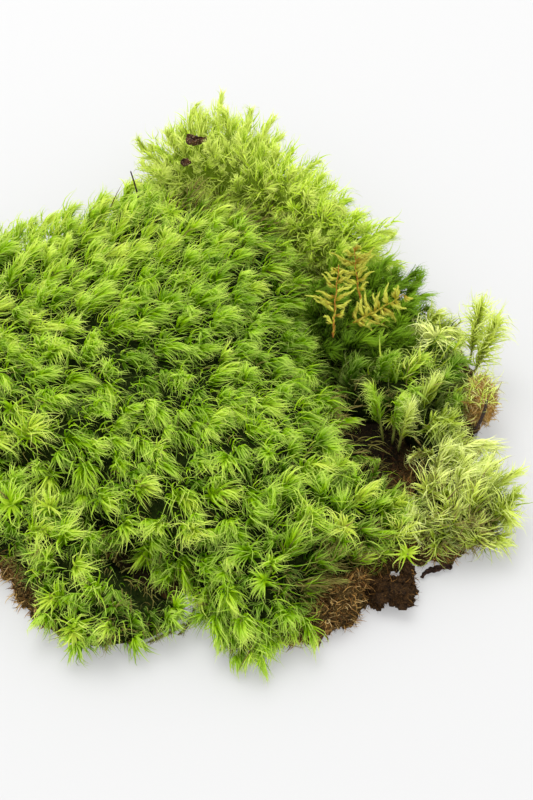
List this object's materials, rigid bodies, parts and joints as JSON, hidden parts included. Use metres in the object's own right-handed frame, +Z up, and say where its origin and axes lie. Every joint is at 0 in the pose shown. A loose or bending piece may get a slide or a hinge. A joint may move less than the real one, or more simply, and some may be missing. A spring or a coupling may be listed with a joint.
{
  "type": "moss clump",
  "caption": "Low clump of broom fork moss on a flat-cut mat of forest duff, with a darker moss patch, feather moss fronds, free shoots and dead litter.",
  "frame": {"origin": "under the middle of the clump's box, on the flat cut that it rests on", "axes": "+Z up, +X to the right of the picture along the longest side, +Y away from the camera"},
  "size_m": [0.2322, 0.2294, 0.0467],
  "materials": {
    "green_moss": "matt, living leaves",
    "pale_moss": "matt, living leaves",
    "dark_moss": "matt, living leaves",
    "golden_moss": "matt, living leaves",
    "duff": "dull, fibrous",
    "soil": "dull, crumbly humus",
    "rooting_felt": "dull, fibrous",
    "dark_litter": "dull bark and needle",
    "dead_leaf": "dry leaf",
    "dead_stem": "dry stem"
  },
  "bodies": {
    "root": {"back_ridge": "green_moss", "bark_strip": "dark_litter", "dark_hair": "dark_litter", "dark_moss_patch": "dark_moss", "dead_leaf_1": "dead_leaf", "dead_leaf_2": "dead_leaf", "dead_stem_1": "dead_stem", "dead_stem_2": "dead_stem", "duff_mat": "duff", "edge_shoot_1": "pale_moss", "edge_shoot_2": "pale_moss", "felt_wad": "rooting_felt", "frond_1": "golden_moss", "frond_2": "golden_moss", "frond_3": "golden_moss", "front_left_lobe": "green_moss", "hollow_shoot_1": "green_moss", "hollow_shoot_2": "green_moss", "hollow_shoot_3": "green_moss", "humus_lump": "soil", "main_cushion": "green_moss", "needle": "dark_litter", "right_lobe": "pale_moss", "star_shoot": "pale_moss"}
  },
  "joints": []
}
